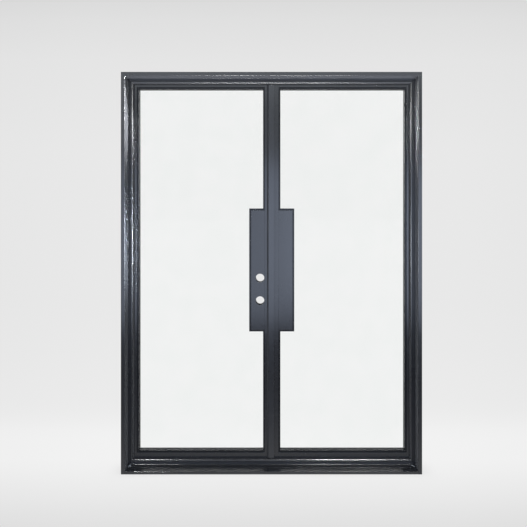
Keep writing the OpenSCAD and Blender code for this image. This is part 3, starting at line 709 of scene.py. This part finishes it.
def hinge_welds():
    """Fillet welds round the free edges of the hinge wings."""
    pin_in, end_gap = 10.0 * MM, 2.0 * MM
    for side, sign in (("left", 1.0), ("right", -1.0)):
        for part, body, way in (("_leaf_barrels", side + "_leaf", sign),
                                ("_frame_barrels", "frame", -sign)):
            verts, faces = [], []
            for cloud in islands(side + part):
                low, high = cloud.min(0), cloud.max(0)
                free_x = high[0] if way > 0 else low[0]
                pin_x = (low[0] + pin_in) if way > 0 else (high[0] - pin_in)
                root_y = low[1] + 0.3 * MM
                near = free_x - way * 0.4 * MM
                bead_run(verts, faces, (free_x, root_y, low[2] + end_gap),
                         (free_x, root_y, high[2] - end_gap), 2.1 * MM, (way, 1.0, 0.0))
                upper = part == "_leaf_barrels"
                z_end = high[2] if upper else low[2]
                bead_run(verts, faces, (near, root_y, z_end),
                         (pin_x + way * 6.0 * MM, root_y, z_end), 1.9 * MM,
                         (0.0, 1.0, 1.0 if upper else -1.0))
            piece(side + part.replace("barrels", "hinge_welds"), verts, faces, body, hinge_paint,
                  (), 60.0)


def guide_screws():
    """Low oval-head screws, with a slot, in the flush bolts' guide plates."""
    around, end_gap = 20, 6.0 * MM
    profile = ((2.9, -0.4), (2.9, 0.05), (2.3, 0.32), (1.3, 0.5), (0.4, 0.55))
    for end in ("top", "bottom"):
        low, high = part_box(end + "_bolt_guide")
        middle_y = (low.y + high.y) / 2
        verts, faces = [], []
        for z in (low.z + end_gap, high.z - end_gap):
            base = len(verts)
            turn = rng.uniform(0.0, 3.0)
            for radius, rise in profile:
                for k in range(around):
                    angle = 2 * math.pi * k / around
                    y, w = math.cos(angle), math.sin(angle)
                    slot = abs(math.cos(turn) * w - math.sin(turn) * y) * radius < 0.42
                    sunk = 0.30 if slot and rise > 0.2 else 0.0
                    verts.append((low.x - (rise - sunk) * MM, middle_y + radius * y * MM,
                                  z + radius * w * MM))
            faces += tube_faces(len(profile), around, base)
        piece(end + "_guide_screws", verts, faces, "right_leaf", bolt_steel, (), 35.0)


def sealant_smears():
    """Small smears of joint sealant where the sill's sloped top meets the jambs."""
    casing, run, climb, toe = 24.0 * MM, 62.0, 12.5, 16.5
    slant = math.atan2(climb, run)
    rings, around = 5, 14
    jamb_low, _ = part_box("left_jamb")
    face_y = jamb_low.y + run * MM
    ends = (("left", -1.0, jamb_low.x + casing, 0.9,
             ((15.0, -9.0, 1.0), (21.0, -17.0, 0.75), (11.0, -20.0, 0.6))),
            ("right", 1.0, -jamb_low.x - casing, 0.8,
             ((16.0, -14.0, 0.75), (23.0, -8.0, 0.7), (10.0, -21.0, 0.45))))
    for side, sign, wall_x, size, spots in ends:
        verts, faces = [], []
        for away, back, share in spots:
            centre = Vector((wall_x - sign * away * MM, face_y + back * MM,
                             (toe + climb * (run + back) / run) * MM))
            base = len(verts)
            lumps = [rng.uniform(0.75, 1.25) for _ in range(around)]
            for ring in range(rings):
                radius = (1.0 - ring / (rings - 0.6)) ** 0.6 * 5.2 * MM * share * size
                rise = (ring / (rings - 1)) ** 0.7 * 1.5 * MM * share - 0.25 * MM
                for k in range(around):
                    angle = 2 * math.pi * k / around
                    u = radius * lumps[k] * math.cos(angle) * 1.25
                    v = radius * lumps[k] * math.sin(angle) * 1.5
                    verts.append(centre + Vector((u - sign * v * 0.5, v * math.cos(slant),
                                                  v * math.sin(slant) + rise)))
            faces += tube_faces(rings, around, base)
        piece(side + "_sill_sealant", verts, faces, "frame", grey_sealant, (), 60.0)


frame_seals()
astragal_seal()
sweeps()
bead_screws()
hinge_welds()
guide_screws()
sealant_smears()


# ---------------------------------------------------------------- floor, backdrop and light

# The backdrop's sRGB levels over the slope of the line of sight, up from the floor to the wall.
BACKDROP = [(-0.64, 225.0), (-0.608, 229.3), (-0.588, 232.3), (-0.568, 235.0), (-0.544, 238.0),
            (-0.528, 240.0), (-0.508, 241.7), (-0.468, 241.7), (-0.448, 240.6), (-0.428, 238.0),
            (-0.408, 236.0), (-0.3876, 235.0), (-0.287, 233.3), (-0.187, 232.3), (0.114, 232.3),
            (0.215, 230.5), (0.295, 229.0), (0.335, 226.5), (0.3755, 224.0), (0.41, 220.0)]
WALL_THROUGH_PANE, FLOOR_THROUGH_PANE = 246.5, 243.5
WIDEST_COSINE = 0.858


def backdrop_light(net, way, pane_level):
    """Light of the backdrop along a direction from the eye point, as a colour socket.

    What shows through the panes is lifted to one even level.
    """
    parts = net.add("ShaderNodeSeparateXYZ", {0: way})
    flat = net.vector("MULTIPLY", way, (1.0, 1.0, 0.0)).outputs[0]
    reach = net.math("MULTIPLY", net.vector("LENGTH", flat).outputs["Value"], WIDEST_COSINE)
    depth = net.math("MAXIMUM", parts.outputs["Y"], reach)
    rise = net.math("DIVIDE", parts.outputs["Z"], depth)
    across = net.math("DIVIDE", parts.outputs["X"], depth)
    low, high = BACKDROP[0][0], BACKDROP[-1][0]
    share = net.span(rise, low, high, smooth=False)
    room = net.ramp(share, [((t - low) / (high - low), linear(level)) for t, level in BACKDROP])
    edge = net.span(net.math("ABSOLUTE", net.math("ADD", across, 0.01)), 0.32, 0.58, 1.0, 0.982)
    room = net.vector("SCALE", room)
    net.put(room.inputs["Scale"], edge)
    path = net.add("ShaderNodeLightPath")
    inside = net.math("GREATER_THAN", path.outputs["Transmission Depth"], 0.5)
    bright = linear(pane_level)
    return net.mix(inside, room.outputs[0], (bright, bright, bright, 1.0))


def make_world():
    """The backdrop for the camera, and a plain soft room for what the object reflects."""
    world = bpy.data.worlds.new("studio")
    scene.world = world
    world.use_nodes = True
    net = Net(world.node_tree)
    output = net.add("ShaderNodeOutputWorld")
    way = net.add("ShaderNodeTexCoord").outputs["Generated"]
    parts = net.add("ShaderNodeSeparateXYZ", {0: way})
    height = net.span(parts.outputs["Z"], -1.0, 1.0, smooth=False)
    front = net.ramp(height, [(0.0, 1.0), (0.2, 1.6), (0.268, 1.5), (0.288, 0.8), (0.303, 0.22),
                              (0.5, 0.30), (1.0, 0.4)])
    back = net.ramp(height, [(0.0, 0.4), (0.3, 0.6), (0.42, 0.9), (0.5, 1.2), (0.58, 2.4),
                             (0.70, 2.0), (1.0, 1.0)])
    room = net.mix(net.span(parts.outputs["Y"], -0.25, 0.25), front, back)
    path = net.add("ShaderNodeLightPath")
    bounced = net.math("GREATER_THAN", net.math("ADD", path.outputs["Glossy Depth"],
                                                path.outputs["Diffuse Depth"]), 0.5)
    shade = net.mix(bounced, backdrop_light(net, way, WALL_THROUGH_PANE), room)
    background = net.add("ShaderNodeBackground", {"Color": shade})
    net.put(output.inputs[0], background)


def make_floor():
    """A wide pale floor with the backdrop's light and a soft contact shade."""
    mesh = bpy.data.meshes.new("floor")
    bm = bmesh.new()
    bmesh.ops.create_circle(bm, cap_ends=True, radius=60.0, segments=96)
    bm.to_mesh(mesh)
    bm.free()
    floor = bpy.data.objects.new("floor", mesh)
    floor.location.z = -0.0004
    scene.collection.objects.link(floor)
    material, net, output = new_material("floor")
    geometry = net.add("ShaderNodeNewGeometry")
    way = net.vector("SUBTRACT", geometry.outputs["Position"], tuple(EYE)).outputs[0]
    near = net.add("ShaderNodeAmbientOcclusion", {"Distance": 0.12}, samples=6)
    contact = net.span(near.outputs["AO"], 0.0, 0.9, 0.72, 1.0, smooth=False)
    glow = net.add("ShaderNodeEmission", {
        "Color": backdrop_light(net, way, FLOOR_THROUGH_PANE), "Strength": contact})
    net.put(output.inputs[0], glow)
    mesh.materials.append(material)
    floor.visible_glossy = False
    floor.visible_diffuse = False
    floor.visible_shadow = False


make_world()
make_floor()

painted = bpy.data.collections.new("painted")
for shown in list(scene.objects):
    if shown.type == "MESH" and shown.data.materials and \
            shown.data.materials[0] is not clear_glass and shown.name != "floor":
        painted.objects.link(shown)


def receivers(name, members):
    """A collection of the painted pieces whose names start with one of the words."""
    chosen = bpy.data.collections.new(name)
    for shown in painted.objects:
        if shown.name.startswith(members):
            chosen.objects.link(shown)
    return chosen


left_side = receivers("left_side", ("left_jamb", "left_hinge_stile", "left_exterior"))
right_side = receivers("right_side", ("right_jamb", "right_hinge_stile", "right_exterior"))
sill_only = receivers("sill_only", ("sill", "left_sill", "right_sill"))
head_only = receivers("head_only", ("head",))


def lamp(name, place, target, size, radiance, colour, lit=painted, shine_only=False,
         spread=180.0):
    """A rectangular soft light on everything but the panes, or on the lit pieces.

    With shine_only it shows only in their gloss; a spread below 180 degrees makes a beam.
    """
    data = bpy.data.lights.new(name, "AREA")
    data.shape = "RECTANGLE"
    data.size, data.size_y = size
    data.energy = radiance * size[0] * size[1] * math.pi
    data.color = colour
    data.spread = math.radians(spread)
    light = bpy.data.objects.new(name, data)
    light.location = place
    light.rotation_euler = (Vector(target) - Vector(place)).to_track_quat("-Z", "Y").to_euler()
    light.visible_camera = False
    light.visible_transmission = False
    light.visible_diffuse = not shine_only
    scene.collection.objects.link(light)
    light.light_linking.receiver_collection = lit


COOL, SKY, WARM = (0.685, 0.785, 1.0), (0.86, 0.93, 1.0), (1.0, 0.99, 0.97)
LEFT_JAMB, RIGHT_JAMB = -0.86, 0.86
lamp("front_main", (0.0, -3.4, 1.15), (0.0, 0.0, 1.15), (4.4, 2.1), 3.45, COOL)
lamp("front_right", (1.14, -3.38, 1.25), (1.14, 0.0, 1.25), (2.1, 1.6), 1.5, COOL)
lamp("front_upper", (0.0, -3.4, 2.66), (0.0, 0.0, 2.66), (4.4, 0.9), 1.05, SKY)
lamp("front_top", (0.0, -3.4, 3.6), (0.0, 0.0, 2.4), (4.4, 1.0), 2.5, SKY)
lamp("right_panel", (3.2, -2.6, 1.0), (-0.8, 0.0, 1.2), (2.2, 0.9), 110.0, SKY, left_side, True)
lamp("right_upper", (2.9, -2.6, 2.95), (-0.8, 0.0, 2.1), (2.4, 0.7), 60.0, WARM, left_side, True)
lamp("left_upper", (-2.9, -2.6, 2.95), (0.8, 0.0, 2.1), (2.4, 0.7), 60.0, WARM, right_side, True)
lamp("left_panel", (-3.2, -2.6, 1.0), (0.8, 0.0, 1.2), (1.4, 0.9), 60.0, SKY, right_side, True)
lamp("ceiling_right", (0.95, -1.3, 3.7), (0.6, 0.0, 0.0), (1.0, 0.3), 1000.0, WARM, sill_only,
     True)
lamp("ceiling_left", (-1.7, -1.3, 3.7), (-0.9, 0.0, 0.0), (0.6, 0.3), 600.0, WARM, sill_only,
     True)
# Beams along the wall's plane, for the sides of the deep frame.
lamp("right_graze", (3.0, -0.40, 3.6), (LEFT_JAMB, -0.03, 2.19), (0.3, 0.4), 40.0, WARM,
     left_side, spread=6.5)
lamp("right_graze_low", (3.0, -0.40, 1.75), (LEFT_JAMB, -0.03, 1.36), (0.3, 0.4), 22.0, SKY,
     left_side, spread=7.5)
lamp("left_graze", (-3.0, -0.40, 3.6), (RIGHT_JAMB, -0.03, 2.19), (0.3, 0.4), 30.0, WARM,
     right_side, spread=6.5)
lamp("floor_graze", (0.0, -0.55, 0.1), (0.0, -0.03, 2.4), (1.7, 0.3), 165.0, WARM, head_only)
